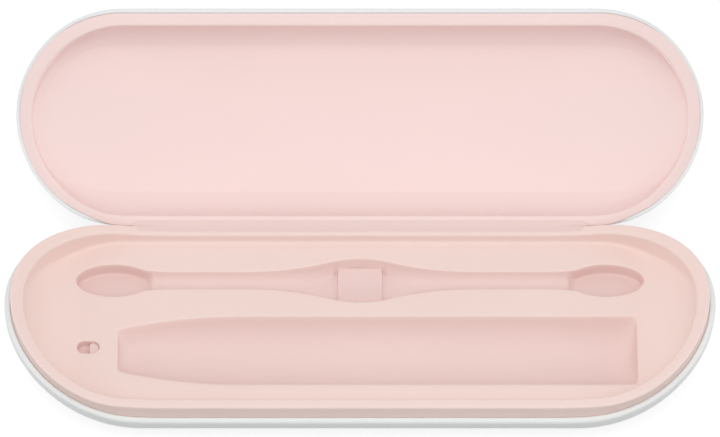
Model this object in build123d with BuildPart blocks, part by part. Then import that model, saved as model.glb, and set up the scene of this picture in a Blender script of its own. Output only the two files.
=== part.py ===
"""Travel case for an electric toothbrush, in millimetres.

A long clamshell with round ends. A white shell carries a pink tray with moulded
places for a handle and two brush heads, a white lid carries a pink liner, and a
soft strip along the rear edge joins the halves. The seam between the halves is
level in the middle and sweeps up towards both tips.

Frame: +Z up, X along the case, the hinge at +Y, origin at the middle of the flat
bottom. The lid is drawn shut and then turned open about the hinge line.
"""
import os
from math import sqrt

from build123d import *

os.makedirs("parts", exist_ok=True)

# Outline of the rim and the seam
RIM_LENGTH = 234.0
RIM_RADIUS = 36.8
SEAM_HEIGHT = 19.0
SEAM_LEVEL_HALF = 66.0
SEAM_SWEEP_RADIUS = 101.0
SEAM_END = 124.0
OPEN_ANGLE = 140.7

# Base shell: bulge past the rim, belly curve along the sides and at the tips
SHELL_BULGE = 2.1
SHELL_WALL = 2.0
BAND_HEIGHT = 5.4
FORM_LEVELS = 6
BELLY_CROWDING = 1.5
BELLY_CENTRE = 13.5
BELLY_DROP = 15.5
BELLY_REACH = 20.0
TIP_CENTRE = 27.3
TIP_DROP = 28.5
TIP_REACH = 30.0

# Tray
SLIP = 0.05
RIM_WIDTH = 3.7
TIP_RIM_WIDTH = 4.4
FLOOR_DEPTH = 4.0
FLOOR_LEVEL_HALF = 93.0
FLOOR_SWEEP_RADIUS = 20.6
SKIN = 2.4
TUB_WALL = 1.7
SKIRT_BOTTOM = 7.0

# Place for the handle
HANDLE_Y = -10.8
HANDLE_LEFT = -81.2
HANDLE_RIGHT = 93.0
HANDLE_FULL_FROM = -40.0
HANDLE_RADIUS = 13.8
HANDLE_NECK_RADIUS = 8.6
HANDLE_AXIS_LIFT = 2.8
HANDLE_LEFT_ROUND = 3.4
HANDLE_RIGHT_ROUND = 8.4

# Places for the two brush heads
HEADS_Y = 17.4
HEAD_NECK_RADIUS = 3.45
HEAD_FLARE_START = 38.0
HEAD_FLARE_MID_RADIUS = 5.2
HEAD_FOOT_RADIUS = 7.8
STOP_POCKET_HALF = 8.7
STOP_POCKET_RADIUS = 8.8
STOP_HALF = 7.45
STOP_TOP_DEPTH = 3.6
STOP_SADDLE_RADIUS = 30.0
SADDLE_DIP = 0.8
STOP_EDGE_ROUND = 0.5
BRISTLE_X = 83.0
BRISTLE_HALF_LENGTH = 12.8
BRISTLE_HALF_WIDTH = 6.5
BRISTLE_DEPTH = 5.5
NECK_OVERLAP = 74.0

# Slot beside the narrow end of the handle
SLOT_X = -92.0
SLOT_Y = -9.7
SLOT_LENGTH = 7.8
SLOT_WIDTH = 4.9
PLUG_LENGTH = 3.4
PLUG_DEPTH = 1.0
PLUG_TAIL = 1.0

# Lid
CROWN_HEIGHT = 19.0
LID_CROWDING = 2.0
LID_WALL = 1.3
DOME_SIDE_START = 5.0
DOME_SIDE_RISE = 15.0
DOME_SIDE_REACH = 18.0
DOME_TIP_START = 13.8
DOME_TIP_RISE = 5.8
DOME_TIP_REACH = 20.0
LINER_FLANGE = 2.2
LINER_WALL = 1.2
CAVITY_RADIUS = 32.1
CAVITY_LENGTH = 223.0
CAVITY_SHIFT = 1.1
CAVITY_HEIGHT = 15.9
CAVITY_SIDE_START = 3.0
CAVITY_SIDE_RISE = 13.6
CAVITY_SIDE_REACH = 14.0
CAVITY_TIP_START = 11.4
CAVITY_TIP_RISE = 5.0
CAVITY_TIP_REACH = 17.0

# Hinge strip, and the gap left between the shut halves
SEAM_GAP = 0.3
STRIP_HALF = 78.0
BEAD_RADIUS = 1.0
BEAD_CLEARANCE = 0.06
LEAF_THICKNESS = 0.8
BASE_LEAF_OFFSET = 0.5
LID_LEAF_OFFSET = 0.85
LEAF_DEPTH = 2.8
LEAF_END_GAP = 3.0
NOTCH_HEIGHT = 2.4

# Closing magnets in the base and their steel plates in the lid
MAGNET_X = 40.0
MAGNET_LENGTH = 14.0
MAGNET_WIDTH = 1.4
MAGNET_INSET = 2.5
MAGNET_HEIGHT = 3.0
MAGNET_COVER = 0.9
PLATE_HEIGHT = 1.0
PLATE_COVER = 0.6

FLOOR_Z = SEAM_HEIGHT - FLOOR_DEPTH
HANDLE_AXIS_Z = FLOOR_Z + HANDLE_AXIS_LIFT
LID_TOP = SEAM_HEIGHT + CROWN_HEIGHT
REACH = 60.0
TOP = 80.0
MAGNET_Y = -(RIM_RADIUS - MAGNET_INSET)
HEADS_LATHE = Plane((0, HEADS_Y, FLOOR_Z), x_dir=(1, 0, 0), z_dir=(0, -1, 0))
HINGE = Axis((0, RIM_RADIUS, SEAM_HEIGHT), (1, 0, 0))
HINGE_PLANE = Plane((0, RIM_RADIUS, SEAM_HEIGHT), x_dir=(0, 1, 0), z_dir=(1, 0, 0))


def oval_drop(distance, drop, reach):
    """How far an oval with the half axes drop and reach has drawn in at a distance from its middle."""
    share = min(max(distance / drop, 0.0), 1.0)
    return reach * (1 - sqrt(1 - share * share))


def save(part, name):
    """Label one finished piece and write its file."""
    part.label = name
    export_step(part, f"parts/{name}.step")


def swept_block(start, half, radius, level):
    """Block between a level plane and a line that is straight for the half length and then sweeps up."""
    end = start + radius - sqrt(radius**2 - min(SEAM_END - half, radius * 0.995) ** 2)
    tip = half + min(SEAM_END - half, radius * 0.995)
    with BuildPart() as block:
        with BuildSketch(Plane.XZ):
            with BuildLine():
                Line((-half, start), (half, start))
                TangentArc((half, start), (tip, end), tangent=(1, 0))
                Polyline((tip, end), (tip, level), (-tip, level), (-tip, end))
                TangentArc((-half, start), (-tip, end), tangent=(-1, 0))
            make_face()
        extrude(amount=REACH, both=True)
    return block.part


def above_seam(lift):
    """All that lies over the seam, moved up by lift."""
    return swept_block(SEAM_HEIGHT + lift, SEAM_LEVEL_HALF, SEAM_SWEEP_RADIUS, TOP)


def below_seam(lift):
    """All that lies under the seam, moved up by lift."""
    return swept_block(SEAM_HEIGHT + lift, SEAM_LEVEL_HALF, SEAM_SWEEP_RADIUS, -TOP)


def belly(inset):
    """Outer form of the base, drawn in by inset: slots on rising levels, then straight up."""
    bottom = inset
    with BuildPart() as form:
        for step in range(FORM_LEVELS):
            z = bottom + (TIP_CENTRE - bottom) * (step / (FORM_LEVELS - 1)) ** BELLY_CROWDING
            side = oval_drop(BELLY_CENTRE - z, BELLY_DROP - inset, BELLY_REACH - inset)
            tip = oval_drop(TIP_CENTRE - z, TIP_DROP - inset, TIP_REACH - inset)
            radius = RIM_RADIUS + SHELL_BULGE - inset - side
            length = RIM_LENGTH + 2 * (SHELL_BULGE - inset - tip)
            with BuildSketch(Plane.XY.offset(z)):
                SlotOverall(length, 2 * radius)
        loft()
        extrude(form.faces().sort_by(Axis.Z)[-1], amount=SEAM_HEIGHT)
    return form.part


def dome(inset, banded=False):
    """Outer form of the lid, drawn in by inset: straight up from the seam, then slots that close in.

    Faces that the finished case hides are banded: straight from one level to the next.
    """
    shoulder = SEAM_HEIGHT + DOME_SIDE_START
    crown = LID_TOP - inset
    with BuildPart() as form:
        for step in range(FORM_LEVELS):
            z = shoulder + (crown - shoulder) * (1 - (1 - step / (FORM_LEVELS - 1)) ** LID_CROWDING)
            height = z - SEAM_HEIGHT
            side = oval_drop(height - DOME_SIDE_START, DOME_SIDE_RISE - inset, DOME_SIDE_REACH - inset)
            tip = oval_drop(height - DOME_TIP_START, DOME_TIP_RISE - inset, DOME_TIP_REACH - inset)
            with BuildSketch(Plane.XY.offset(z)):
                SlotOverall(RIM_LENGTH - 2 * (inset + tip), 2 * (RIM_RADIUS - inset - side))
        loft(ruled=banded)
        extrude(form.faces().sort_by(Axis.Z)[0], amount=DOME_SIDE_START + 1)
    return form.part


def lid_cavity(grow, banded=False):
    """Hollow of the lid liner, made larger by grow."""
    shoulder = SEAM_HEIGHT + CAVITY_SIDE_START
    ceiling = SEAM_HEIGHT + CAVITY_HEIGHT + grow
    with BuildPart() as form:
        for step in range(FORM_LEVELS):
            z = shoulder + (ceiling - shoulder) * (1 - (1 - step / (FORM_LEVELS - 1)) ** LID_CROWDING)
            height = z - SEAM_HEIGHT
            side = oval_drop(height - CAVITY_SIDE_START, CAVITY_SIDE_RISE + grow, CAVITY_SIDE_REACH + grow)
            tip = oval_drop(height - CAVITY_TIP_START, CAVITY_TIP_RISE + grow, CAVITY_TIP_REACH + grow)
            with BuildSketch(Plane((0, CAVITY_SHIFT, z))):
                SlotOverall(CAVITY_LENGTH + 2 * (grow - tip), 2 * (CAVITY_RADIUS + grow - side))
        loft(ruled=banded)
        extrude(form.faces().sort_by(Axis.Z)[0], amount=CAVITY_SIDE_START + 1)
    return form.part


def long_side(grow):
    """Side view of the handle's bed, made larger by grow and carried through the case: low corners rounded."""
    left = HANDLE_LEFT - grow
    right = HANDLE_RIGHT + grow
    bottom = HANDLE_AXIS_Z - HANDLE_RADIUS - grow
    with BuildPart() as form:
        with BuildSketch(Plane.XZ) as side_view:
            with Locations(((left + right) / 2, bottom + REACH / 2)):
                Rectangle(right - left, REACH)
            corners = side_view.vertices().group_by(Axis.Z)[0].sort_by(Axis.X)
            fillet(corners[0], HANDLE_LEFT_ROUND + grow)
            corners = side_view.vertices().group_by(Axis.Z)[0].sort_by(Axis.X)
            fillet(corners[-1], HANDLE_RIGHT_ROUND + grow)
        extrude(amount=REACH, both=True)
    return form.part


def handle_form():
    """Bed of the handle: round across, narrower to the left, rounded at its ends."""
    lathe = Plane((0, HANDLE_Y, HANDLE_AXIS_Z), x_dir=(1, 0, 0), z_dir=(0, -1, 0))
    with BuildPart() as form:
        with BuildSketch(lathe):
            with BuildLine():
                Polyline(
                    (HANDLE_LEFT, HANDLE_NECK_RADIUS),
                    (HANDLE_LEFT, 0),
                    (HANDLE_RIGHT, 0),
                    (HANDLE_RIGHT, HANDLE_RADIUS),
                    (HANDLE_FULL_FROM, HANDLE_RADIUS),
                )
                TangentArc(
                    (HANDLE_FULL_FROM, HANDLE_RADIUS),
                    (HANDLE_LEFT, HANDLE_NECK_RADIUS),
                    tangent=(-1, 0),
                )
            make_face()
        revolve(axis=Axis((0, HANDLE_Y, HANDLE_AXIS_Z), (1, 0, 0)))
        add(long_side(0), mode=Mode.INTERSECT)
    return form.part


def handle_tub():
    """Wall under the handle's bed: a plain round trough with the same rounded ends."""
    with BuildPart() as form:
        with BuildSketch(Plane((0, HANDLE_Y, HANDLE_AXIS_Z), x_dir=(0, 1, 0), z_dir=(1, 0, 0))):
            Circle(HANDLE_RADIUS + TUB_WALL)
        extrude(amount=2 * REACH, both=True)
        add(long_side(TUB_WALL), mode=Mode.INTERSECT)
    return form.part


def bristle_wells(grow):
    """Two oval wells for the bristle ends, made larger by grow."""
    with BuildPart() as form:
        with BuildSketch(Plane.XY.offset(FLOOR_Z - BRISTLE_DEPTH - grow)):
            with Locations((-BRISTLE_X, HEADS_Y), (BRISTLE_X, HEADS_Y)):
                Ellipse(BRISTLE_HALF_LENGTH + grow, BRISTLE_HALF_WIDTH + grow)
        extrude(amount=2 * BRISTLE_DEPTH)
    return form.part


def heads_form():
    """Bed of the two brush heads: necks that flare to the pocket in the middle, oval ends."""
    with BuildPart() as form:
        with BuildSketch(HEADS_LATHE):
            with BuildLine():
                Polyline(
                    (0, 0),
                    (NECK_OVERLAP, 0),
                    (NECK_OVERLAP, HEAD_NECK_RADIUS),
                    (HEAD_FLARE_START, HEAD_NECK_RADIUS),
                )
                TangentArc(
                    (HEAD_FLARE_START, HEAD_NECK_RADIUS),
                    (STOP_POCKET_HALF, HEAD_FOOT_RADIUS),
                    tangent=(-1, 0),
                )
                Polyline(
                    (STOP_POCKET_HALF, HEAD_FOOT_RADIUS),
                    (STOP_POCKET_HALF, STOP_POCKET_RADIUS),
                    (0, STOP_POCKET_RADIUS),
                    (0, 0),
                )
            make_face()
            mirror(about=Plane.YZ)
        revolve(axis=Axis((0, HEADS_Y, FLOOR_Z), (1, 0, 0)))
        add(bristle_wells(0))
    return form.part


def heads_tub():
    """Wall under the bed of the brush heads: stepped round troughs and the two oval cups."""
    steps = [
        (2 * NECK_OVERLAP, HEAD_NECK_RADIUS + TUB_WALL),
        (2 * HEAD_FLARE_START, HEAD_FLARE_MID_RADIUS + TUB_WALL),
        (HEAD_FLARE_START, STOP_POCKET_RADIUS + TUB_WALL),
    ]
    with BuildPart() as form:
        for length, radius in steps:
            with BuildSketch(Plane((-length / 2, HEADS_Y, FLOOR_Z), x_dir=(0, 1, 0), z_dir=(1, 0, 0))):
                Circle(radius)
            extrude(amount=length)
        add(bristle_wells(TUB_WALL))
    return form.part


def bar(x_size, y_range, z_range, x_middle=0.0):
    """Straight bar along X between two places in Y and two heights."""
    with BuildPart() as piece:
        with BuildSketch(Plane.XY.offset(z_range[0])):
            with Locations((x_middle, sum(y_range) / 2)):
                Rectangle(x_size, y_range[1] - y_range[0])
        extrude(amount=z_range[1] - z_range[0])
    return piece.part


def bead(radius, half):
    """Round bar along the hinge line."""
    with BuildPart() as piece:
        with BuildSketch(HINGE_PLANE):
            Circle(radius)
        extrude(amount=half, both=True)
    return piece.part


def magnet_pocket(side):
    """Room for one closing magnet in the front rim of the base."""
    heights = (SEAM_HEIGHT - MAGNET_COVER - MAGNET_HEIGHT, SEAM_HEIGHT - MAGNET_COVER)
    across = (MAGNET_Y - MAGNET_WIDTH / 2, MAGNET_Y + MAGNET_WIDTH / 2)
    return bar(MAGNET_LENGTH, across, heights, side * MAGNET_X)


def plate_pocket(side):
    """Room for one steel plate in the front rim of the shut lid."""
    heights = (SEAM_HEIGHT + PLATE_COVER, SEAM_HEIGHT + PLATE_COVER + PLATE_HEIGHT)
    across = (MAGNET_Y - MAGNET_WIDTH / 2, MAGNET_Y + MAGNET_WIDTH / 2)
    return bar(MAGNET_LENGTH, across, heights, side * MAGNET_X)


# ---------------------------------------------------------------- shared cutting forms
over_shell_edge = above_seam(-BAND_HEIGHT)
over_seam = above_seam(0)
under_lid = below_seam(SEAM_GAP)
shell_hollow = belly(SHELL_WALL)
lid_hollow = dome(LID_WALL, banded=True)
handle_bed = handle_form()
heads_bed = heads_form()
bead_groove = bead(BEAD_RADIUS + BEAD_CLEARANCE, STRIP_HALF)
base_leaf = bar(
    2 * (STRIP_HALF - LEAF_END_GAP),
    (RIM_RADIUS - LEAF_DEPTH, RIM_RADIUS - BEAD_RADIUS / 2),
    (SEAM_HEIGHT - BASE_LEAF_OFFSET - LEAF_THICKNESS, SEAM_HEIGHT - BASE_LEAF_OFFSET),
)
hinge_notch = bar(
    2 * (STRIP_HALF + SLIP),
    (RIM_RADIUS - 2 * LID_WALL, RIM_RADIUS + LID_WALL),
    (SEAM_HEIGHT - 1, SEAM_HEIGHT + NOTCH_HEIGHT),
)
liner_lip = bar(
    2 * STRIP_HALF,
    (RIM_RADIUS - LEAF_DEPTH, RIM_RADIUS - SLIP),
    (SEAM_HEIGHT, SEAM_HEIGHT + NOTCH_HEIGHT - SLIP),
)
lid_leaf = bar(
    2 * (STRIP_HALF - LEAF_END_GAP),
    (RIM_RADIUS - LEAF_DEPTH, RIM_RADIUS - BEAD_RADIUS / 2),
    (SEAM_HEIGHT + LID_LEAF_OFFSET, SEAM_HEIGHT + LID_LEAF_OFFSET + LEAF_THICKNESS),
)

# ---------------------------------------------------------------- base shell
with BuildPart() as base_shell:
    add(belly(0))
    add(over_shell_edge, mode=Mode.SUBTRACT)
    add(shell_hollow, mode=Mode.SUBTRACT)
save(base_shell.part, "base_shell")

# ---------------------------------------------------------------- base tray
with BuildPart() as tray_well:
    with BuildSketch(Plane.XY.offset(FLOOR_Z - 1)):
        SlotOverall(RIM_LENGTH - 2 * TIP_RIM_WIDTH, 2 * (RIM_RADIUS - RIM_WIDTH))
    extrude(amount=REACH)
    add(swept_block(FLOOR_Z, FLOOR_LEVEL_HALF, FLOOR_SWEEP_RADIUS, -TOP), mode=Mode.SUBTRACT)

with BuildPart() as tray_underside:
    with BuildSketch():
        SlotOverall(RIM_LENGTH - 2 * TIP_RIM_WIDTH, 2 * (RIM_RADIUS - RIM_WIDTH))
    extrude(amount=REACH)
    add(swept_block(FLOOR_Z - SKIN, FLOOR_LEVEL_HALF, FLOOR_SWEEP_RADIUS + SKIN, TOP), mode=Mode.SUBTRACT)

with BuildPart() as tubs:
    add(handle_tub())
    add(heads_tub())
    add(bar(4 * REACH, (-REACH, REACH), (FLOOR_Z - SKIN / 2, TOP)), mode=Mode.SUBTRACT)

with BuildPart() as slot:
    with BuildSketch(Plane.XY.offset(SKIRT_BOTTOM)):
        with Locations((SLOT_X, SLOT_Y)):
            SlotOverall(SLOT_LENGTH, SLOT_WIDTH)
    extrude(amount=FLOOR_Z)

with BuildPart() as base_tray:
    add(belly(SHELL_WALL + SLIP))
    add(over_seam, mode=Mode.SUBTRACT)
    add(bar(4 * REACH, (-REACH, REACH), (-TOP, SKIRT_BOTTOM)), mode=Mode.SUBTRACT)
    add(tray_underside.part, mode=Mode.SUBTRACT)
    add(tray_well.part, mode=Mode.SUBTRACT)
    add(tubs.part)
    add(handle_bed, mode=Mode.SUBTRACT)
    add(heads_bed, mode=Mode.SUBTRACT)
    add(slot.part, mode=Mode.SUBTRACT)
    add(bead_groove, mode=Mode.SUBTRACT)
    add(base_leaf, mode=Mode.SUBTRACT)
    for side in (-1, 1):
        add(magnet_pocket(side), mode=Mode.SUBTRACT)
save(base_tray.part, "base_tray")


# ---------------------------------------------------------------- pieces set into the tray
with BuildPart() as head_stop:
    with BuildSketch(Plane((-STOP_HALF, HEADS_Y, FLOOR_Z), x_dir=(0, 1, 0), z_dir=(1, 0, 0))):
        Circle(STOP_POCKET_RADIUS)
        with Locations((0, STOP_POCKET_RADIUS - STOP_TOP_DEPTH)):
            Rectangle(2 * STOP_POCKET_RADIUS, 2 * STOP_POCKET_RADIUS, mode=Mode.SUBTRACT)
        with Locations((0, STOP_SADDLE_RADIUS - STOP_TOP_DEPTH - SADDLE_DIP)):
            Circle(STOP_SADDLE_RADIUS, mode=Mode.SUBTRACT)
    extrude(amount=2 * STOP_HALF)
    top_face = head_stop.faces().sort_by(Axis.Z)[-1]
    fillet(top_face.edges(), STOP_EDGE_ROUND)
save(head_stop.part, "head_stop")

with BuildPart() as slot_plug:
    with BuildSketch(Plane.XY.offset(FLOOR_Z - SKIN - PLUG_TAIL)):
        with Locations((SLOT_X, SLOT_Y)):
            SlotOverall(SLOT_LENGTH, SLOT_WIDTH)
        with Locations((SLOT_X - PLUG_LENGTH, SLOT_Y)):
            Rectangle(SLOT_LENGTH, SLOT_WIDTH, mode=Mode.SUBTRACT)
    extrude(amount=SKIN + PLUG_TAIL - PLUG_DEPTH)
save(slot_plug.part, "slot_plug")

for side, name in ((-1, "left"), (1, "right")):
    base_magnet = magnet_pocket(side)
    save(base_magnet, f"base_magnet_{name}")

# ---------------------------------------------------------------- lid, drawn shut
with BuildPart() as lid_shell:
    add(dome(0))
    add(under_lid, mode=Mode.SUBTRACT)
    add(lid_hollow, mode=Mode.SUBTRACT)
    add(hinge_notch, mode=Mode.SUBTRACT)
save(lid_shell.part.rotate(HINGE, -OPEN_ANGLE), "lid_shell")

with BuildPart() as liner_flange:
    add(dome(LID_WALL + SLIP, banded=True))
    add(above_seam(LINER_FLANGE), mode=Mode.SUBTRACT)

with BuildPart() as lid_liner:
    add(liner_flange.part)
    add(lid_cavity(LINER_WALL, banded=True))
    add(liner_lip)
    add(under_lid, mode=Mode.SUBTRACT)
    add(lid_cavity(0), mode=Mode.SUBTRACT)
    add(bead_groove, mode=Mode.SUBTRACT)
    add(lid_leaf, mode=Mode.SUBTRACT)
    for side in (-1, 1):
        add(plate_pocket(side), mode=Mode.SUBTRACT)
save(lid_liner.part.rotate(HINGE, -OPEN_ANGLE), "lid_liner")

for side, name in ((-1, "left"), (1, "right")):
    save(plate_pocket(side).rotate(HINGE, -OPEN_ANGLE), f"lid_plate_{name}")

# ---------------------------------------------------------------- hinge strip, one half on each side
with BuildPart() as hinge_strip_base:
    add(bead(BEAD_RADIUS, STRIP_HALF - SLIP))
    add(base_leaf)
save(hinge_strip_base.part, "hinge_strip_base")

with BuildPart() as hinge_strip_lid:
    add(lid_leaf)
    add(bead_groove, mode=Mode.SUBTRACT)
save(hinge_strip_lid.part.rotate(HINGE, -OPEN_ANGLE), "hinge_strip_lid")
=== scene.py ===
"""Looks of the toothbrush travel case: white shells, pink moulded tray and lid lining, soft hinge web.

The surfaces are worked out in millimetres in the frame of the part and go into the meshes in metres.
The lid is worked out shut and then turned open about the hinge line. Every ring of points round the
case is a slot: two straight runs and two half circles, at the height that the seam or the form gives.
"""
from math import cos, pi, radians, sin

import bmesh
import bpy
import numpy as np
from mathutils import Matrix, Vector


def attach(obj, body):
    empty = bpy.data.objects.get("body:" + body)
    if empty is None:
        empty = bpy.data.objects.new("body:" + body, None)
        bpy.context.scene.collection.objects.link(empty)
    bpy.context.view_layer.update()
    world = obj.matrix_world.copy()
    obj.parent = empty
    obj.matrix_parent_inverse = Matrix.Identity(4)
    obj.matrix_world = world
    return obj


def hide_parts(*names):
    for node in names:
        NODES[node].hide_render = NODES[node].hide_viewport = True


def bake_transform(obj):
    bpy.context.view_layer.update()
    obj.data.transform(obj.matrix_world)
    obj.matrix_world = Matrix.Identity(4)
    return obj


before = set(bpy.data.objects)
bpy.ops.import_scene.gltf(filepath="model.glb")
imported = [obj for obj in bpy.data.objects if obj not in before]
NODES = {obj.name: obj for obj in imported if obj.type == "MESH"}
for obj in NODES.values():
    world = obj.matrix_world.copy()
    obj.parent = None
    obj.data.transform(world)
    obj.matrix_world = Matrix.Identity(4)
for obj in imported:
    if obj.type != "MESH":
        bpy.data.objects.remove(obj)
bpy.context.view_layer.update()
METRES = 0.001

# Outline of the rim, the seam and the turn of the open lid
RIM_LENGTH = 234.0
RIM_RADIUS = 36.8
SEAM_HEIGHT = 19.0
SEAM_LEVEL_HALF = 66.0
SEAM_SWEEP_RADIUS = 101.0
SEAM_GAP = 0.3
OPEN_ANGLE = radians(140.7)

# Base shell
SHELL_BULGE = 2.1
SHELL_WALL = 2.0
BAND_HEIGHT = 5.4
BELLY_CENTRE = 13.5
BELLY_DROP = 15.5
BELLY_REACH = 20.0
TIP_CENTRE = 27.3
TIP_DROP = 28.5
TIP_REACH = 30.0
SHELL_OUTER_ROUND = 1.4
SHELL_INNER_ROUND = 0.45

# Tray: well, rim and floor
SLIP = 0.05
WELL_RADIUS = 33.1
WELL_SPINE = 79.5
FOOT_ROUND = 1.1
RIM_ROUND = 0.7
FLOOR_HEIGHT = 15.0
FLOOR_LEVEL_HALF = 93.0
FLOOR_SWEEP_RADIUS = 20.6
SKIN = 2.4
TUB_WALL = 1.7
MOUTH_ROUND = 0.45
# Depth over which the painted shade in the beds comes in
BED_SHADE_DEPTH = 2.5
WELL_TIP_HALF = 0.02

# Place for the handle
HANDLE_Y = -10.8
HANDLE_LEFT = -81.2
HANDLE_RIGHT = 93.0
HANDLE_FULL_FROM = -40.0
HANDLE_RADIUS = 13.8
HANDLE_NECK_RADIUS = 8.6
HANDLE_AXIS_LIFT = 2.8
HANDLE_LEFT_ROUND = 3.4
HANDLE_RIGHT_ROUND = 8.4
HANDLE_FRONT_MOUTH = 1.5

# Places for the two brush heads
HEADS_Y = 17.4
HEAD_NECK_RADIUS = 3.45
HEAD_FLARE_START = 38.0
HEAD_FLARE_BEND = 100.85
STOP_SWELL_HALF = 10.0
STOP_GROOVE = (7.45, 8.7)
STOP_GROOVE_SHARE = 0.14
NECK_END_FROM = 64.0
NECK_END_FLARE = 0.8
WELL_STEP_SHARE = 0.28
WELL_BLEND = 3.5
BRISTLE_X = 83.0
BRISTLE_HALF_LENGTH = 12.8
BRISTLE_HALF_WIDTH = 6.5
BRISTLE_DEPTH = 5.5

# Slot beside the narrow end of the handle
SLOT_X = -91.2
SLOT_Y = -9.7
SLOT_HALF_LENGTH = 3.8
SLOT_HALF_WIDTH = 2.45
SLOT_DEPTH = 3.3
PLUG_LENGTH = 3.4
PLUG_TOP_UNDER_FLOOR = 0.8
PLUG_TAIL_UNDER_FLOOR = 3.4
PLUG_ROUND = 0.5
PLUG_SLIP = 0.03

# Lid shell and liner
CROWN_HEIGHT = 19.0
LID_WALL = 1.3
DOME_SIDE_START = 5.0
DOME_SIDE_RISE = 14.3
DOME_SIDE_REACH = 18.0
DOME_TIP_START = 13.8
DOME_TIP_RISE = 5.8
DOME_TIP_REACH = 20.0
LID_EDGE_ROUND = 0.35
LINER_FLANGE = 2.2
LINER_WALL = 1.2
CAVITY_RADIUS = 32.1
CAVITY_LENGTH = 223.0
CAVITY_SHIFT = 1.1
CAVITY_HEIGHT = 15.9
CAVITY_CROWN = 1.5
CAVITY_SIDE_START = 3.0
CAVITY_SIDE_RISE = 13.1
CAVITY_SIDE_REACH = 14.0
CAVITY_TIP_START = 11.4
CAVITY_TIP_RISE = 5.0
CAVITY_TIP_REACH = 17.0
CAVITY_MOUTH_ROUND = 0.8

# Hinge web and the notch in the lid shell that leaves room for it
WEB_HALF = 77.0
NOTCH_FULL_TO = 80.5
NOTCH_ENDS_AT = 95.0
NOTCH_HEIGHT = 2.4
LIP_CLEARANCE = 0.15
WEB_REACH = 2.1
WEB_END_ROUND = 3.0
WEB_BEAD_RADIUS = 1.0

# The camera as the photograph's outlines give it
CAMERA_ELEVATION = radians(55.83)
CAMERA_DISTANCE = 2.524
CAMERA_TILT_UP = radians(0.746)
SENSOR_WIDTH = 36.0
FOCAL_PIXELS = 7516
FRAME_WIDTH_PIXELS = 720


# ---------------------------------------------------------------- materials
def shader(name):
    """New material with its principled shader, ready to link."""
    made = bpy.data.materials.new(name)
    made.use_nodes = True
    return made, made.node_tree, made.node_tree.nodes["Principled BSDF"]


def moulded_plastic(name, colour, second_colour, roughness, grain_size, grain_depth, painted_bed_shade=None):
    """Moulded plastic: a cloudy mix of two close colours, uneven gloss and a fine surface grain.

    Painted shade: a darker colour multiplies the colour where the attribute under_floor says that the surface lies
    in a bed, darkening the beds as shade would.
    """
    made, tree, surface = shader(name)
    nodes, link = tree.nodes, tree.links.new
    place = nodes.new("ShaderNodeTexCoord")

    cloud = nodes.new("ShaderNodeTexNoise")
    cloud.inputs["Scale"].default_value = 14
    cloud.inputs["Detail"].default_value = 3
    link(place.outputs["Object"], cloud.inputs["Vector"])
    tint = nodes.new("ShaderNodeValToRGB")
    tint.color_ramp.elements[0].position = 0.35
    tint.color_ramp.elements[0].color = (*colour, 1)
    tint.color_ramp.elements[1].position = 0.65
    tint.color_ramp.elements[1].color = (*second_colour, 1)
    link(cloud.outputs["Fac"], tint.inputs["Fac"])
    # Painted shade: darken the colour down in the beds
    if painted_bed_shade:
        depth = nodes.new("ShaderNodeAttribute")
        depth.attribute_name = "under_floor"
        shaded_bed = nodes.new("ShaderNodeMix")
        shaded_bed.data_type = "RGBA"
        shaded_bed.blend_type = "MULTIPLY"
        shaded_bed.inputs[7].default_value = (*painted_bed_shade, 1)
        link(depth.outputs["Fac"], shaded_bed.inputs[0])
        link(tint.outputs["Color"], shaded_bed.inputs[6])
        link(shaded_bed.outputs[2], surface.inputs["Base Color"])
    else:
        link(tint.outputs["Color"], surface.inputs["Base Color"])

    grain = nodes.new("ShaderNodeTexNoise")
    grain.inputs["Scale"].default_value = 1 / grain_size
    grain.inputs["Detail"].default_value = 4
    link(place.outputs["Object"], grain.inputs["Vector"])
    gloss = nodes.new("ShaderNodeMapRange")
    gloss.inputs["To Min"].default_value = roughness - 0.06
    gloss.inputs["To Max"].default_value = roughness + 0.06
    link(grain.outputs["Fac"], gloss.inputs["Value"])
    link(gloss.outputs["Result"], surface.inputs["Roughness"])

    relief = nodes.new("ShaderNodeBump")
    relief.inputs["Strength"].default_value = 0.25
    relief.inputs["Distance"].default_value = grain_depth
    link(grain.outputs["Fac"], relief.inputs["Height"])
    link(relief.outputs["Normal"], surface.inputs["Normal"])
    return made


def worked_metal(name, colour, roughness, stretch):
    """Metal with fine marks: noise drawn out along x by stretch sets its tone, gloss and relief."""
    made, tree, surface = shader(name)
    nodes, link = tree.nodes, tree.links.new
    place = nodes.new("ShaderNodeTexCoord")
    along = nodes.new("ShaderNodeMapping")
    along.inputs["Scale"].default_value = (1 / stretch, 1, 1)
    link(place.outputs["Object"], along.inputs["Vector"])
    marks = nodes.new("ShaderNodeTexNoise")
    marks.inputs["Scale"].default_value = 2500
    marks.inputs["Detail"].default_value = 4
    link(along.outputs["Vector"], marks.inputs["Vector"])
    tone = nodes.new("ShaderNodeValToRGB")
    tone.color_ramp.elements[0].position = 0.3
    tone.color_ramp.elements[0].color = (*[0.88 * part for part in colour], 1)
    tone.color_ramp.elements[1].position = 0.7
    tone.color_ramp.elements[1].color = (*colour, 1)
    link(marks.outputs["Fac"], tone.inputs["Fac"])
    link(tone.outputs["Color"], surface.inputs["Base Color"])
    gloss = nodes.new("ShaderNodeMapRange")
    gloss.inputs["To Min"].default_value = roughness - 0.08
    gloss.inputs["To Max"].default_value = roughness + 0.08
    link(marks.outputs["Fac"], gloss.inputs["Value"])
    link(gloss.outputs["Result"], surface.inputs["Roughness"])
    relief = nodes.new("ShaderNodeBump")
    relief.inputs["Strength"].default_value = 0.3
    relief.inputs["Distance"].default_value = 0.00001
    link(marks.outputs["Fac"], relief.inputs["Height"])
    link(relief.outputs["Normal"], surface.inputs["Normal"])
    surface.inputs["Metallic"].default_value = 1.0
    return made


# Painted shade in the beds: the colour that multiplies the pink where the tray lies deep
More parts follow.
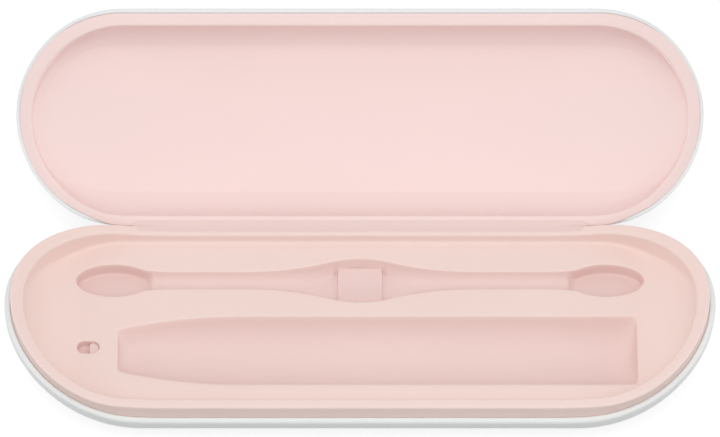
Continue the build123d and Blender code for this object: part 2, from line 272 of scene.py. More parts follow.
BED_PAINTED_SHADE = (0.95, 0.915, 0.935)
TRAY_PINK = moulded_plastic("tray_pink", (0.885, 0.70, 0.65), (0.90, 0.715, 0.665), 0.55, 0.0006, 0.00001, BED_PAINTED_SHADE)
STOP_PINK = moulded_plastic("stop_pink", (0.835, 0.63, 0.60), (0.85, 0.645, 0.615), 0.5, 0.0006, 0.00001)
# The lining is the tray's pink painted lighter: painted light for the lid's brighter inside.
LINER_PINK_LIT = moulded_plastic("liner_pink_lit", (0.91, 0.71, 0.685), (0.925, 0.725, 0.70), 0.5, 0.0006, 0.00001)
# The web's pink is darker than the tray's: painted shade for the hollow along the hinge.
WEB_PINK_SHADED = moulded_plastic("web_pink_shaded", (0.82, 0.62, 0.585), (0.835, 0.635, 0.60), 0.6, 0.0005, 0.00001)
MAGNET_NICKEL = worked_metal("magnet_nickel", (0.64, 0.62, 0.58), 0.25, 1)
PLATE_STEEL = worked_metal("plate_steel", (0.56, 0.57, 0.58), 0.38, 30)
WHITE_SHELL = moulded_plastic("white_shell", (0.825, 0.85, 0.84), (0.835, 0.86, 0.85), 0.36, 0.0008, 0.000004)


def finish_node(name, material):
    """Give a carried-over node its finish."""
    node = NODES[name]
    node.data.materials.clear()
    node.data.materials.append(material)


# ---------------------------------------------------------------- rings round the case
def ease(share):
    """Smooth step from 0 to 1."""
    share = np.clip(share, 0, 1)
    return share * share * (3 - 2 * share)


def seam(x):
    """Height of the seam: level in the middle, then an arc that rises towards both tips."""
    past = np.clip(np.abs(x) - SEAM_LEVEL_HALF, 0, 0.9 * SEAM_SWEEP_RADIUS)
    return SEAM_HEIGHT + SEAM_SWEEP_RADIUS - np.sqrt(SEAM_SWEEP_RADIUS**2 - past**2)


def oval_drop(distance, drop, reach):
    """How far an oval with the half axes drop and reach has drawn in at a distance from its middle."""
    share = np.clip(distance / drop, 0, 1)
    return reach * (1 - np.sqrt(1 - share * share))


def round_path(straight_steps, cap_steps, marks=()):
    """Closed path round a slot: the share along its middle line and the outward direction of each column.

    The rear run goes to the right, a half circle comes forward, the front run goes back to the left.
    Marks are extra shares on the runs, where something ends.
    """
    run = np.unique(np.concatenate([np.linspace(-1, 1, straight_steps), np.asarray(marks, float)]))
    turn = np.linspace(0, pi, cap_steps + 1)[1:-1]
    share = np.concatenate([run, np.ones(cap_steps - 1), run[::-1], -np.ones(cap_steps - 1)])
    out_x = np.concatenate([0 * run, np.sin(turn), 0 * run, -np.sin(turn)])
    out_y = np.concatenate([0 * run + 1, np.cos(turn), 0 * run - 1, -np.cos(turn)])
    return share, out_x, out_y


def slot_ring(path, spine, radius, z, shift=0.0):
    """Ring of points: share times the half middle line, plus the radius along the outward direction."""
    share, out_x, out_y = path
    x = share * spine + out_x * radius
    y = out_y * radius + shift
    return np.stack([x, y, z + 0 * x], -1)


def on_seam(ring, lift):
    """The ring with each point at the height of the seam over it, plus lift."""
    return np.stack([ring[:, 0], ring[:, 1], seam(ring[:, 0]) + lift], -1)


def belly_ring(path, z, inset):
    """Ring of the base's outer form at height z, drawn in by inset: its sides and tips follow two ovals."""
    side = oval_drop(BELLY_CENTRE - z, BELLY_DROP - inset, BELLY_REACH - inset)
    tip = oval_drop(TIP_CENTRE - z, TIP_DROP - inset, TIP_REACH - inset)
    radius = RIM_RADIUS + SHELL_BULGE - inset - side
    return slot_ring(path, RIM_LENGTH / 2 + SHELL_BULGE - inset - tip - radius, radius, z)


def dome_ring(path, z, inset):
    """Ring of the lid's outer form at height z, drawn in by inset."""
    height = z - SEAM_HEIGHT
    side = oval_drop(height - DOME_SIDE_START, DOME_SIDE_RISE - inset, DOME_SIDE_REACH - inset)
    tip = oval_drop(height - DOME_TIP_START, DOME_TIP_RISE - inset, DOME_TIP_REACH - inset)
    radius = RIM_RADIUS - inset - side
    return slot_ring(path, RIM_LENGTH / 2 - inset - tip - radius, radius, z)


def cavity_ring(path, z, grow):
    """Ring of the lid's hollow at height z, made larger by grow."""
    height = z - SEAM_HEIGHT
    side = oval_drop(height - CAVITY_SIDE_START, CAVITY_SIDE_RISE + grow, CAVITY_SIDE_REACH + grow)
    tip = oval_drop(height - CAVITY_TIP_START, CAVITY_TIP_RISE + grow, CAVITY_TIP_REACH + grow)
    radius = CAVITY_RADIUS + grow - side
    return slot_ring(path, CAVITY_LENGTH / 2 + grow - tip - radius, radius, z, CAVITY_SHIFT)


def seam_on(form, path, inset, lift):
    """Height at which each column of a form meets the seam moved up by lift, found by repeated reading."""
    z = np.full(len(path[0]), SEAM_HEIGHT)
    for _ in range(8):
        z = seam(form(path, z, inset)[:, 0]) + lift
    return z


def flat_fill(ring, shares):
    """Rings that shrink a level ring towards its middle, by shares of its size."""
    middle = ring.mean(0)
    return [middle + (ring - middle) * share for share in shares]


# ---------------------------------------------------------------- meshes
def grid_faces(rows, columns, closed, start=0):
    """Corners of the faces of a grid of rows by columns; a closed grid joins its last column to its first."""
    row = np.arange(rows - 1)[:, None]
    column = np.arange(columns if closed else columns - 1)[None, :]
    beside = (column + 1) % columns
    corners = [row * columns + column, row * columns + beside]
    corners += [(row + 1) * columns + beside, (row + 1) * columns + column]
    return np.stack(np.broadcast_arrays(*corners), -1).reshape(-1, 4) + start


def closed_mesh(name, points, faces, material, body, slot, *stands_for):
    """Closed piece from points in millimetres: doubles merge, normals face outward, sharp bends stay crisp."""
    mesh = bpy.data.meshes.new(name)
    mesh.from_pydata(points * METRES, [], faces.tolist())
    work = bmesh.new()
    work.from_mesh(mesh)
    bmesh.ops.remove_doubles(work, verts=work.verts, dist=0.000002)
    bmesh.ops.dissolve_degenerate(work, dist=0.0000005, edges=work.edges)
    bmesh.ops.recalc_face_normals(work, faces=work.faces)
    work.to_mesh(mesh)
    work.free()
    mesh.shade_smooth()
    mesh.set_sharp_from_angle(angle=radians(50))
    mesh.materials.append(material)
    piece = bpy.data.objects.new(name, mesh)
    bpy.context.scene.collection.objects.link(piece)
    if body:
        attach(piece, body)
    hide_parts(*stands_for)
    return piece


def ringed_piece(name, rings, *rest):
    """Closed piece from rings of points whose first and last ring have shrunk to a point."""
    rings = np.stack(rings)
    faces = grid_faces(len(rings), rings.shape[1], closed=True)
    return closed_mesh(name, rings.reshape(-1, 3), faces, *rest)


def turn_open(points):
    """Turn points of the shut lid about the hinge line to the open lid."""
    y = points[..., 1] - RIM_RADIUS
    z = points[..., 2] - SEAM_HEIGHT
    turned_y = RIM_RADIUS + y * cos(OPEN_ANGLE) + z * sin(OPEN_ANGLE)
    turned_z = SEAM_HEIGHT - y * sin(OPEN_ANGLE) + z * cos(OPEN_ANGLE)
    return np.stack([points[..., 0], turned_y, turned_z], -1)


QUARTER = np.linspace(0, pi / 2, 6)
FILL = (0, 0.3, 0.6, 0.85, 0.96)
CROWN_FILL = np.linspace(0, 1, 14)[:-1]


# ---------------------------------------------------------------- base shell
def base_shell():
    """White shell: flat bottom, belly up to a rounded edge that follows the seam, and the same form inside."""
    path = round_path(65, 48)
    edge = seam_on(belly_ring, path, 0, -BAND_HEIGHT)
    rings = flat_fill(belly_ring(path, 0.0, 0), FILL)
    for share in np.linspace(0, 1, 26):
        rings.append(belly_ring(path, (edge - SHELL_OUTER_ROUND) * share**1.6, 0))
    for angle in QUARTER[1:]:
        inset = SHELL_OUTER_ROUND * (1 - cos(angle))
        rings.append(belly_ring(path, edge - SHELL_OUTER_ROUND * (1 - sin(angle)), inset))
    for angle in QUARTER:
        inset = SHELL_WALL - SHELL_INNER_ROUND * (1 - sin(angle))
        rings.append(belly_ring(path, edge - SHELL_INNER_ROUND * (1 - cos(angle)), inset))
    for share in np.linspace(1, 0, 18)[1:]:
        z = SHELL_WALL + (edge - SHELL_INNER_ROUND - SHELL_WALL) * share**1.6
        rings.append(belly_ring(path, z, SHELL_WALL))
    rings += flat_fill(belly_ring(path, SHELL_WALL, SHELL_WALL), FILL[::-1])
    return ringed_piece("shell_of_base", rings, WHITE_SHELL, "base", "white_shell", "base_shell")


# ---------------------------------------------------------------- base tray
def switch_place():
    """Place along the case where a well's oval is as wide as the neck that runs into it."""
    share = (HEAD_NECK_RADIUS + NECK_END_FLARE) / BRISTLE_HALF_WIDTH
    return BRISTLE_X - BRISTLE_HALF_LENGTH * np.sqrt(1 - share**2)


def tray_columns():
    """Places along the case of the tray's cross-sections, closer together at the ends of every bed."""
    turn = np.linspace(0, pi / 2, 30)
    oval = BRISTLE_HALF_LENGTH * np.sin(np.linspace(-pi / 2, pi / 2, 39))
    switch = switch_place()
    groove = np.array(STOP_GROOVE)
    mouth = MOUTH_ROUND * np.array([0.0, 0.06, 0.25, 0.5, 0.75, 1.0])
    one_side = np.concatenate([
        np.linspace(0, WELL_SPINE, 54),
        WELL_SPINE + (WELL_RADIUS - FOOT_ROUND) * np.sin(turn),
        BRISTLE_X + oval,
        BRISTLE_X + BRISTLE_HALF_LENGTH + mouth,
        [switch - 0.03, switch + 0.03],
        np.linspace(switch - WELL_BLEND, switch, 8),
        groove - 0.03, groove + 0.03,
    ])
    slot_half = SLOT_HALF_LENGTH - SLOT_HALF_WIDTH
    slot_turn = slot_half + SLOT_HALF_WIDTH * np.sin(turn[::3])
    handle_ends = np.concatenate([
        HANDLE_RIGHT - HANDLE_RIGHT_ROUND * (1 - np.sin(turn[::2])),
        HANDLE_RIGHT + 0.03 + mouth,
        HANDLE_LEFT + HANDLE_LEFT_ROUND * (1 - np.sin(turn[::3])),
        HANDLE_LEFT - 0.03 - mouth,
    ])
    places = np.concatenate([
        one_side, -one_side, handle_ends,
        SLOT_X + slot_turn, SLOT_X - slot_turn,
        SLOT_X + SLOT_HALF_LENGTH + mouth, SLOT_X - SLOT_HALF_LENGTH - mouth,
    ])
    places = np.unique(np.round(places, 3))
    return places[np.concatenate([[True], np.diff(places) > 0.02])]


def floor_height(x, sweep):
    """Height of the tray's floor: level, then an arc that rises to the rim at both tips."""
    past = np.clip(np.abs(x) - FLOOR_LEVEL_HALF, 0, 0.99 * sweep)
    return FLOOR_HEIGHT + sweep - np.sqrt(sweep**2 - past**2)


def mouth_rows(width, wall, depth):
    """Rounded mouth of a bed: a curve from the floor over the corner at width and down to the wall."""
    share = np.linspace(0, 1, 5)[:, None]
    start, corner, end = (1 - share) ** 2, 2 * share * (1 - share), share**2
    return start * (width + depth) + corner * width + end * wall, -depth * end + 0 * width


WALL_ROWS = 12


def trough_rows(radius, lift, depth):
    """Half section of a round trough whose axis lies lift over the floor: mouth, then an arc to the middle."""
    wall = np.sqrt(radius**2 - (lift + depth) ** 2)
    across, down = mouth_rows(np.sqrt(radius**2 - lift**2), wall, depth)
    angle = np.arcsin(wall / radius) * np.linspace(1, 0, WALL_ROWS + 1)[1:, None]
    across = np.concatenate([across, radius * np.sin(angle)])
    down = np.concatenate([down, lift - radius * np.cos(angle)])
    return across, down


def well_rows(width, well_depth, depth):
    """Half section of a flat well: mouth, straight wall, rounded foot and level bottom."""
    across, down = mouth_rows(width, width, depth)
    foot = np.minimum(0.8, 0.5 * width)
    share = np.linspace(0, 1, 5)[1:, None]
    wall_down = -depth - (well_depth - depth - foot) * share
    foot_in = width - foot * (1 - np.cos(share * pi / 2))
    foot_down = -well_depth + foot * (1 - np.sin(share * pi / 2))
    bottom_in = (width - foot) * (1 - share)
    across = np.concatenate([across, width + 0 * wall_down, foot_in, bottom_in])
    down = np.concatenate([down, wall_down, foot_down, -well_depth + 0 * bottom_in])
    return across, down


def both_halves(rear, front=None):
    """Whole section from its rear half and front half, or from one half that serves for both."""
    across, down = rear
    front_across, front_down = front or rear
    return np.concatenate([across, -front_across[-2::-1]]), np.concatenate([down, front_down[-2::-1]])


def heads_section(x, grow, depth):
    """Sections of the brush heads' bed: neck troughs that swell to the middle pocket, oval wells at the ends.

    The swell is an arc tangent to the neck, rounded over the middle by a parabola of the same slope. The neck
    widens with the square of the way to the well, whose half width is the root of one minus the share squared,
    and its round section changes smoothly to the flat one of the well.
    """
    place = np.abs(x)
    past = np.clip(HEAD_FLARE_START - np.maximum(place, STOP_SWELL_HALF), 0, HEAD_FLARE_START)
    arc = np.sqrt(HEAD_FLARE_BEND**2 - past**2)
    crown = np.clip(1 - (place / STOP_SWELL_HALF) ** 2, 0, 1) * past / arc * STOP_SWELL_HALF / 2
    flare = NECK_END_FLARE * np.clip((place - NECK_END_FROM) / (switch_place() - NECK_END_FROM), 0, 1) ** 2
    radius = HEAD_NECK_RADIUS + HEAD_FLARE_BEND - arc + crown + flare + grow
    along = (place - BRISTLE_X) / (BRISTLE_HALF_LENGTH + grow)
    width = (BRISTLE_HALF_WIDTH + grow) * np.sqrt(1 - np.clip(along, -1, 1) ** 2)
    width = np.maximum(width, WELL_TIP_HALF)
    in_well = (place > BRISTLE_X) | (width > radius)
    trough_across, trough_down = trough_rows(radius, 0.0, depth)
    in_groove = (place > STOP_GROOVE[0]) & (place < STOP_GROOVE[1])
    trough_down = trough_down * (1 + STOP_GROOVE_SHARE * in_groove)
    step = ease((1 - np.hypot(along, trough_across / (BRISTLE_HALF_WIDTH + grow))) / WELL_STEP_SHARE)
    trough_down = trough_down + np.minimum(-BRISTLE_DEPTH - grow - trough_down, 0) * step
    blend = ease((place - switch_place()) / WELL_BLEND + 1)
    near_across, near_down = well_rows(radius, BRISTLE_DEPTH + grow, depth)
    trough_across = trough_across + (near_across - trough_across) * blend
    trough_down = trough_down + (near_down - trough_down) * blend
    well_across, well_down = well_rows(width, BRISTLE_DEPTH + grow, depth)
    across = np.where(in_well, well_across, trough_across)
    down = np.where(in_well, well_down, trough_down)
    past_end = place - BRISTLE_X - BRISTLE_HALF_LENGTH - grow
    return across, np.maximum(down, -end_depth(past_end, BRISTLE_DEPTH + grow, depth))


def end_depth(past, full, depth):
    """Depth that an end wall leaves: the full depth before it, then the rounded mouth, then none."""
    share = np.clip(1 - past / max(depth, 0.001), 0, 1)
    return np.where(past <= 0, full, depth * (1 - np.sqrt(1 - share**2)))


def handle_section(x, grow, depth, mouth):
    """Sections of the handle's bed: a round trough, narrower to the left, with a rounded ramp at each end.

    The depth is that of the rounding at its ends, the mouth that of the rounding along its side.
    """
    run = HANDLE_FULL_FROM - HANDLE_LEFT
    fall = HANDLE_RADIUS - HANDLE_NECK_RADIUS
    bend = (run**2 + fall**2) / (2 * fall)
    past = np.clip(HANDLE_FULL_FROM - x, 0, run)
    radius = HANDLE_RADIUS - bend + np.sqrt(bend**2 - past**2) + grow
    across, down = trough_rows(radius, HANDLE_AXIS_LIFT, mouth)
    full = HANDLE_RADIUS - HANDLE_AXIS_LIFT + grow
    left_full = HANDLE_NECK_RADIUS - HANDLE_AXIS_LIFT + grow
    right = end_ramp(x - HANDLE_RIGHT, HANDLE_RIGHT_ROUND, full, grow, depth) / full
    left = end_ramp(HANDLE_LEFT - x, HANDLE_LEFT_ROUND, left_full, grow, depth) / left_full
    return across, down * np.minimum(left, right)


def end_ramp(past, ramp, full, grow, depth):
    """Depth under a rounded ramp that ends in a short wall: a quarter circle up from the full depth."""
    along = np.clip(past + ramp, 0, ramp + grow)
    inside = full - (ramp + grow) + np.sqrt((ramp + grow) ** 2 - along**2)
    inside = np.where(past + ramp <= 0, full, np.maximum(inside, full - ramp))
    return np.minimum(inside, end_depth(past - grow, full, depth))


def slot_section(x, grow, depth):
    """Sections of the small slot: a well with round ends."""
    past = np.clip(np.abs(x - SLOT_X) - (SLOT_HALF_LENGTH - SLOT_HALF_WIDTH), 0, SLOT_HALF_WIDTH + grow)
    width = np.maximum(np.sqrt(np.maximum((SLOT_HALF_WIDTH + grow) ** 2 - past**2, 0)), WELL_TIP_HALF)
    across, down = well_rows(width, SLOT_DEPTH + grow, depth)
    past_end = np.abs(x - SLOT_X) - SLOT_HALF_LENGTH - grow
    return across, np.maximum(down, -end_depth(past_end, SLOT_DEPTH + grow, depth))


def tray_surface(x, grow, depth, lowest_floor, sweep):
    """Top or underside of the tray's floor as a grid: rows from the rear edge to the front edge.

    Every column is one cross-section. Its rows are shared out to the floor strips and to the two beds,
    so that the beds' edges run along rows. Past the beds the rows keep their shares of the narrowing floor.
    """
    limit = 98.5
    near = np.clip(x, -limit, limit)
    radius = WELL_RADIUS - FOOT_ROUND
    edge = np.sqrt(radius**2 - np.clip(np.abs(near) - WELL_SPINE, 0, radius) ** 2)
    true_edge = np.sqrt(np.maximum(radius**2 - np.clip(np.abs(x) - WELL_SPINE, 0, radius) ** 2, 0))

    front_mouth = HANDLE_FRONT_MOUTH if grow == 0 else depth
    handle_rear = handle_section(near, grow, depth, depth)
    handle_front = handle_section(near, grow, depth, front_mouth)
    heads_across, heads_down = both_halves(heads_section(near, grow, depth))
    handle_across, handle_down = both_halves(handle_rear, handle_front)
    slot_across, slot_down = both_halves(slot_section(near, grow, depth))
    to_slot = ease((-83.0 - near) / 3.3)
    bed_across = handle_across + (slot_across - handle_across) * to_slot
    bed_down = np.where(near < -84.6, slot_down, handle_down)
    bed_y = HANDLE_Y + (SLOT_Y - HANDLE_Y) * to_slot
    room = edge + bed_y - 0.8
    bed_across = bed_across * np.minimum(1, room / np.abs(bed_across).max(0))

    heads_rows = HEADS_Y + heads_across
    bed_rows = bed_y + bed_across
    share = np.linspace(0, 1, 9)[:-1, None]
    rear = edge + (heads_rows[0] - edge) * share
    share = np.linspace(0, 1, 8)[1:-1, None]
    middle = heads_rows[-1] + (bed_rows[0] - heads_rows[-1]) * share
    share = np.linspace(0, 1, 9)[1:, None]
    front = bed_rows[-1] + (-edge - bed_rows[-1]) * share
    y = np.concatenate([rear, heads_rows, middle, bed_rows, front]) * (true_edge / edge)
    down = np.concatenate([0 * rear, heads_down, 0 * middle, bed_down, 0 * front])
    down = np.minimum(down, lowest_floor)
    return np.stack([x + 0 * y, y, floor_height(x, sweep) + down], -1)


def tray_ring_path(x):
    """Path round the tray's well whose columns meet the columns of the floor."""
    radius = WELL_RADIUS - FOOT_ROUND
    share = np.clip(x / WELL_SPINE, -1, 1)
    out_x = np.clip((x - share * WELL_SPINE) / radius, -1, 1)
    out_y = np.sqrt(1 - out_x**2)
    inner = slice(-2, 0, -1)
    share = np.concatenate([share, share[inner]])
    return share, np.concatenate([out_x, out_x[inner]]), np.concatenate([out_y, -out_y[inner]])


def base_tray():
    """Pink tray: floor with its beds, rounded foot, wall and rim round it, and the underside that closes it."""
    x = tray_columns()
    top = tray_surface(x, 0.0, MOUTH_ROUND, 0.0, FLOOR_SWEEP_RADIUS)
    under = tray_surface(x, TUB_WALL, 0.1, -SKIN, FLOOR_SWEEP_RADIUS + SKIN)
    path = tray_ring_path(x)

    well = slot_ring(path, WELL_SPINE, WELL_RADIUS, 0.0)
    floor_here = floor_height(well[:, 0], FLOOR_SWEEP_RADIUS)
    height = seam(well[:, 0]) - floor_here
    foot = np.minimum(FOOT_ROUND, 0.5 * height)
    inner_round = np.minimum(RIM_ROUND, 0.45 * height)
    rings = []
    for angle in QUARTER:
        ring = slot_ring(path, WELL_SPINE, WELL_RADIUS - FOOT_ROUND * (1 - sin(angle)), 0.0)
        ring[:, 2] = floor_height(ring[:, 0], FLOOR_SWEEP_RADIUS) + foot * (1 - cos(angle))
        rings.append(ring)
    for share in (0.35, 0.7):
        ring = well.copy()
        low, high = floor_here + foot, seam(well[:, 0]) - inner_round
        ring[:, 2] = low + (high - low) * share
        rings.append(ring)
    for angle in QUARTER:
        ring = slot_ring(path, WELL_SPINE, WELL_RADIUS + RIM_ROUND * (1 - cos(angle)), 0.0)
        rings.append(on_seam(ring, -inner_round * (1 - sin(angle))))
    side = SHELL_WALL + SLIP
    inside = slot_ring(path, WELL_SPINE, WELL_RADIUS + RIM_ROUND, 0.0)
    outside = belly_ring(path, TIP_CENTRE, side + RIM_ROUND)
    for share in (0.33, 0.66):
        rings.append(on_seam(inside + (outside - inside) * share, 0))
    for angle in QUARTER:
        ring = belly_ring(path, TIP_CENTRE, side + RIM_ROUND * (1 - sin(angle)))
        rings.append(on_seam(ring, -RIM_ROUND * (1 - cos(angle))))
    rim = seam_on(belly_ring, path, side, 0)
    for drop in (1.8, 2.8, 3.8, 4.8, 5.8, 6.8, 7.6):
        rings.append(belly_ring(path, rim - drop, side))
    rings.append(belly_ring(path, rim - 7.6, side + TUB_WALL))
    inward = slot_ring(path, WELL_SPINE, WELL_RADIUS, 0.0)
    inward[:, 2] = floor_height(inward[:, 0], FLOOR_SWEEP_RADIUS + SKIN) - SKIN
    rings.append(inward)
    edge = slot_ring(path, WELL_SPINE, WELL_RADIUS - FOOT_ROUND, 0.0)
    edge[:, 2] = floor_height(edge[:, 0], FLOOR_SWEEP_RADIUS + SKIN) - SKIN
    rings.append(edge)

    rings = np.stack(rings)
    rows, columns = top.shape[:2]
    faces = [
        grid_faces(rows, columns, closed=False),
        grid_faces(rows, columns, closed=False, start=rows * columns),
        grid_faces(len(rings), rings.shape[1], closed=True, start=2 * rows * columns),
    ]
    points = np.concatenate([top.reshape(-1, 3), under.reshape(-1, 3), rings.reshape(-1, 3)])
    faces = np.concatenate(faces)
    tray = closed_mesh("tray_of_base", points, faces, TRAY_PINK, "base", "pink_tray", "base_tray")
    # Painted shade in the beds, by depth under the floor
    paint_shade_in_beds(tray.data)
    return tray


def paint_shade_in_beds(mesh):
    """Write the attribute under_floor for the painted shade in the beds: a smooth step of how far a point inside
    the well is under the floor.
    """
    places = np.empty(3 * len(mesh.vertices))
    mesh.vertices.foreach_get("co", places)
    x, y, z = (places / METRES).reshape(-1, 3).T
    off_spine = np.hypot(x - np.clip(x, -WELL_SPINE, WELL_SPINE), y)
    share = ease((floor_height(x, FLOOR_SWEEP_RADIUS) - z) / BED_SHADE_DEPTH) * (off_spine < WELL_RADIUS - 0.5)
    under = mesh.attributes.new("under_floor", "FLOAT", "POINT")
    under.data.foreach_set("value", share)


def slot_plug():
    """Block in the slot's right end: a half circle with a short straight run, its top edge rounded all round."""
    turn = np.linspace(-pi / 2, pi / 2, 25)
    run = np.linspace(1, -1, 9)[1:-1]
    left = SLOT_X + SLOT_HALF_LENGTH - PLUG_LENGTH
    middle = SLOT_X + SLOT_HALF_LENGTH - SLOT_HALF_WIDTH

    def outline(inset, under_floor):
        """Outline drawn in by inset at a depth under the floor."""
        radius = SLOT_HALF_WIDTH - PLUG_SLIP - inset
        x = np.concatenate([middle + radius * np.cos(turn), left + inset + 0 * run])
        y = SLOT_Y + np.concatenate([radius * np.sin(turn), radius * run])
        return np.stack([x, y, FLOOR_HEIGHT - under_floor + 0 * x], -1)

    rings = flat_fill(outline(PLUG_ROUND, PLUG_TOP_UNDER_FLOOR), FILL)
    for angle in QUARTER:
        under_floor = PLUG_TOP_UNDER_FLOOR + PLUG_ROUND * (1 - cos(angle))
        rings.append(outline(PLUG_ROUND * (1 - sin(angle)), under_floor))
    rings += flat_fill(outline(0, PLUG_TAIL_UNDER_FLOOR), (1, *FILL[::-1]))
    return ringed_piece("plug_of_slot", rings, STOP_PINK, "base", "pink_stop", "slot_plug")


# ---------------------------------------------------------------- lid
def beside_web(path):
    """1 beside the hinge web, then a smooth step down to 0 round the rear corners, and 0 further on."""
    ring = slot_ring(path, RIM_LENGTH / 2 - RIM_RADIUS, RIM_RADIUS, 0.0)
    left = NOTCH_ENDS_AT - np.abs(ring[:, 0])
    return ease(left / (NOTCH_ENDS_AT - NOTCH_FULL_TO)) * (ring[:, 1] > 0)


def lid_shell():
    """White lid: crown, rounded sides down to the seam, rounded edge, and the same form inside."""
    path = round_path(65, 60)
    edge = seam_on(dome_ring, path, 0, SEAM_GAP) + beside_web(path) * (NOTCH_HEIGHT - SEAM_GAP)
    crown = SEAM_HEIGHT + CROWN_HEIGHT
    low = edge + LID_EDGE_ROUND
    rings = flat_fill(dome_ring(path, crown, 0), FILL)
    for share in np.linspace(1, 0, 26):
        rings.append(dome_ring(path, low + (crown - low) * sin(share * pi / 2), 0))
    for angle in QUARTER[1:]:
        inset = LID_EDGE_ROUND * (1 - cos(angle))
        rings.append(dome_ring(path, edge + LID_EDGE_ROUND * (1 - sin(angle)), inset))
    for angle in QUARTER:
        inset = LID_WALL - LID_EDGE_ROUND * (1 - sin(angle))
        rings.append(dome_ring(path, edge + LID_EDGE_ROUND * (1 - cos(angle)), inset))
    ceiling = crown - LID_WALL
    for share in np.linspace(0, 1, 18)[1:]:
        rings.append(dome_ring(path, low + (ceiling - low) * sin(share * pi / 2), LID_WALL))
    rings += flat_fill(dome_ring(path, ceiling, LID_WALL), FILL[::-1])
    rings = [turn_open(ring) for ring in rings]
    return ringed_piece("shell_of_lid", rings, WHITE_SHELL, "lid", "white_shell", "lid_shell")


def lid_liner():
    """Pink lid lining: smooth bowl with a rounded mouth, flat rim and the flange that sits in the shell."""
    path = round_path(65, 60)
    ceiling = SEAM_HEIGHT + CAVITY_HEIGHT - CAVITY_CROWN
    mouth = on_seam(cavity_ring(path, SEAM_HEIGHT, 0), SEAM_GAP)[:, 2]
    low = mouth + CAVITY_MOUTH_ROUND
    rings = flat_fill(cavity_ring(path, ceiling, 0), CROWN_FILL)
    for ring, share in zip(rings, CROWN_FILL):
        ring[:, 2] += CAVITY_CROWN * (1 - share**2)
    for share in np.linspace(1, 0, 30):
        rings.append(cavity_ring(path, low + (ceiling - low) * sin(share * pi / 2), 0))
    for angle in QUARTER[1:]:
        ring = cavity_ring(path, SEAM_HEIGHT, CAVITY_MOUTH_ROUND * (1 - cos(angle)))
        rings.append(on_seam(ring, SEAM_GAP + CAVITY_MOUTH_ROUND * (1 - sin(angle))))
    side = LID_WALL + SLIP
    lip = beside_web(path)

    def flange(inset, lift, reach=lip):
        """Ring of the flange's outer side, out to the case's own side where reach is 1."""
        narrow = on_seam(dome_ring(path, SEAM_HEIGHT, side + inset), lift)
        wide = on_seam(dome_ring(path, SEAM_HEIGHT, SLIP + inset), lift)
        return narrow + (wide - narrow) * reach[:, None]

    edge_round = 0.25
    for share in (0.33, 0.66):
        rings.append(on_seam(rings[-1] + (flange(edge_round, SEAM_GAP) - rings[-1]) * share, SEAM_GAP))
    for angle in QUARTER:
        rings.append(flange(edge_round * (1 - sin(angle)), SEAM_GAP + edge_round * (1 - cos(angle))))
    lip_top = SEAM_GAP + np.maximum(lip * (NOTCH_HEIGHT - SEAM_GAP) - LIP_CLEARANCE, edge_round)
    rings.append(flange(0, lip_top))
    rings.append(flange(0, lip_top, 0 * lip))
    rings.append(flange(0, np.maximum(lip_top, LINER_FLANGE), 0 * lip))
    outer_low = on_seam(cavity_ring(path, SEAM_HEIGHT, LINER_WALL), LINER_FLANGE)[:, 2]
    outer_top = SEAM_HEIGHT + CAVITY_HEIGHT + LINER_WALL
    for share in np.linspace(0, 1, 18):
        z = outer_low + (outer_top - outer_low) * sin(share * pi / 2)
        rings.append(cavity_ring(path, z, LINER_WALL))
    rings += flat_fill(cavity_ring(path, outer_top, LINER_WALL), FILL[::-1])
    rings = [turn_open(ring) for ring in rings]
    return ringed_piece("lining_of_lid", rings, LINER_PINK_LIT, "lid", "pink_tray", "lid_liner")


# ---------------------------------------------------------------- hinge web
def hinge_web():
    """Soft web along the rear edge: its top runs from rim to rim in one hollow curve, its back is round.

    The top is a curve with its corner on the hinge line. The back is an arc about that line, and both
    taper into the rims. The section shrinks to a point at both ends, and where the seam rises towards them
    its front side follows the base's rim and its rear side the lid's.
    """
    rim = np.array([cos(OPEN_ANGLE), -sin(OPEN_ANGLE)]) * -1.0
    over_lid = np.array([rim[1] * -1.0, rim[0]])
    hinge = np.array([RIM_RADIUS, SEAM_HEIGHT])
    proud = 0.03
    start = hinge + [-WEB_REACH, proud]
    end = hinge + rim * WEB_REACH + over_lid * (proud - SEAM_GAP)
    corner = hinge + [0, proud * 2]
    share = np.linspace(0, 1, 25)[:, None]
    top = (1 - share) ** 2 * start + 2 * share * (1 - share) * corner + share**2 * end
    end_angle = np.arctan2(rim[1], rim[0]) - 0.35
    angle = np.linspace(end_angle, -pi + 0.35, 15)[:, None]
    back = hinge + WEB_BEAD_RADIUS * np.concatenate([np.cos(angle), np.sin(angle)], 1)
    tuck = 0.12
    section = np.concatenate([top, [end - over_lid * tuck], back, [start - [0, tuck]]])
    to_lid = np.concatenate([share, [[1]], np.linspace(1, 0, len(back))[:, None], [[0]]])
    to_lid = ease((to_lid - 0.35) / 0.3)
    rise_way = np.array([0, 1]) * (1 - to_lid) - over_lid * to_lid

    inner = WEB_HALF - WEB_END_ROUND
    rounding = np.linspace(0, pi / 2, 11)
    right = inner + WEB_END_ROUND * np.sin(rounding)
    size = np.cos(rounding)
    x = np.concatenate([-right[::-1], np.linspace(-inner, inner, 90)[1:-1], right])
    size = np.concatenate([size[::-1], np.ones(88), size])
    sections = section + rise_way * (seam(x) - SEAM_HEIGHT)[:, None, None]
    middle = sections.mean(1, keepdims=True)
    yz = middle + (sections - middle) * size[:, None, None]
    rings = np.concatenate([np.broadcast_to(x[:, None, None], (*yz.shape[:2], 1)), yz], -1)
    faces = grid_faces(len(rings), rings.shape[1], closed=True)
    nodes = ("hinge_strip_base", "hinge_strip_lid")
    web = closed_mesh("hinge_web", rings.reshape(-1, 3), faces, WEB_PINK_SHADED, None, "pink_strip", *nodes)
    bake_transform(web)
    return web


base_shell()
base_tray()
lid_shell()
lid_liner()
hinge_web()
slot_plug()
finish_node("head_stop", STOP_PINK)
for side in ("left", "right"):
    finish_node("base_magnet_" + side, MAGNET_NICKEL)
    finish_node("lid_plate_" + side, PLATE_STEEL)


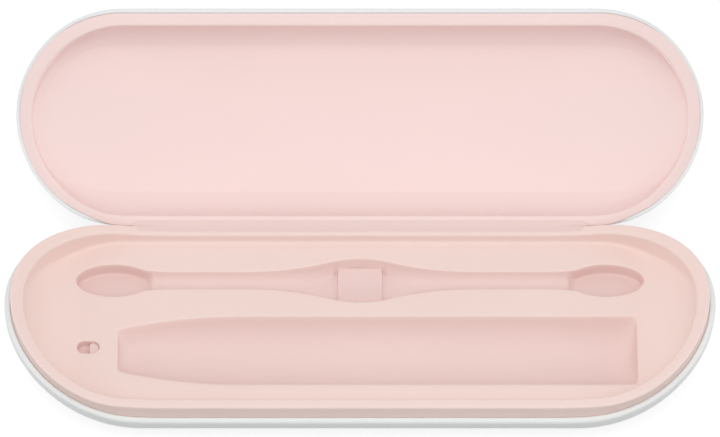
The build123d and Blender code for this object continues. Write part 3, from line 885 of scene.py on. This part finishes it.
# ---------------------------------------------------------------- floor, light and camera
def world_light(level):
    """Even light on the object, and white where the camera or a reflection sees past the floor."""
    world = bpy.data.worlds.new("studio")
    bpy.context.scene.world = world
    world.use_nodes = True
    nodes, link = world.node_tree.nodes, world.node_tree.links.new
    background = nodes["Background"]
    background.inputs["Color"].default_value = (1, 1, 1, 1)
    path = nodes.new("ShaderNodeLightPath")
    seen = nodes.new("ShaderNodeMath")
    seen.operation = "MAXIMUM"
    link(path.outputs["Is Camera Ray"], seen.inputs[0])
    link(path.outputs["Is Glossy Ray"], seen.inputs[1])
    strength = nodes.new("ShaderNodeMapRange")
    strength.inputs["To Min"].default_value = level
    strength.inputs["To Max"].default_value = 1.0
    link(seen.outputs["Value"], strength.inputs["Value"])
    link(strength.outputs["Result"], background.inputs["Strength"])


def soft_light(name, place, target, size, power):
    """Large square lamp that faces a target."""
    data = bpy.data.lights.new(name, "AREA")
    data.shape = "SQUARE"
    data.size = size
    data.energy = power
    lamp = bpy.data.objects.new(name, data)
    bpy.context.scene.collection.objects.link(lamp)
    lamp.location = place
    lamp.rotation_mode = "QUATERNION"
    lamp.rotation_quaternion = (Vector(target) - Vector(place)).to_track_quat("-Z", "Y")
    return lamp


def studio_floor(shine):
    """Pale floor that shows white where it is lit and keeps the object's shadow."""
    bpy.ops.mesh.primitive_plane_add(size=6, location=(0, 0, -0.0002))
    floor = bpy.context.object
    floor.name = "floor"
    made, tree, surface = shader("floor_white")
    surface.inputs["Base Color"].default_value = (0.4, 0.4, 0.4, 1)
    surface.inputs["Roughness"].default_value = 0.9
    surface.inputs["Emission Color"].default_value = (1, 1, 1, 1)
    path = tree.nodes.new("ShaderNodeLightPath")
    seen = tree.nodes.new("ShaderNodeMath")
    seen.operation = "MAXIMUM"
    tree.links.new(path.outputs["Is Camera Ray"], seen.inputs[0])
    tree.links.new(path.outputs["Is Glossy Ray"], seen.inputs[1])
    glow = tree.nodes.new("ShaderNodeMath")
    glow.operation = "MULTIPLY"
    glow.inputs[1].default_value = shine
    tree.links.new(seen.outputs["Value"], glow.inputs[0])
    tree.links.new(glow.outputs["Value"], surface.inputs["Emission Strength"])
    floor.data.materials.append(made)


world_light(0.66)
soft_light("lamp_over_front", (0, -0.62, 1.65), (0, 0.02, 0), 1.5, 9.3)
for side in (-1, 1):
    soft_light("lamp_beside", (1.3 * side, -0.2, 0.45), (0.1 * side, 0, 0), 0.9, 2.3)
studio_floor(0.72)

aim = Vector((0, 0, SEAM_HEIGHT * METRES))
away = Vector((0, -cos(CAMERA_ELEVATION), sin(CAMERA_ELEVATION)))
camera_data = bpy.data.cameras.new("camera")
camera_data.sensor_width = SENSOR_WIDTH
camera_data.lens = SENSOR_WIDTH * FOCAL_PIXELS / FRAME_WIDTH_PIXELS
camera = bpy.data.objects.new("camera", camera_data)
camera.location = aim + away * CAMERA_DISTANCE
camera.rotation_euler = (pi / 2 - CAMERA_ELEVATION + CAMERA_TILT_UP, 0, 0)
bpy.context.scene.collection.objects.link(camera)
bpy.context.scene.camera = camera
bpy.context.scene.view_settings.view_transform = "Standard"
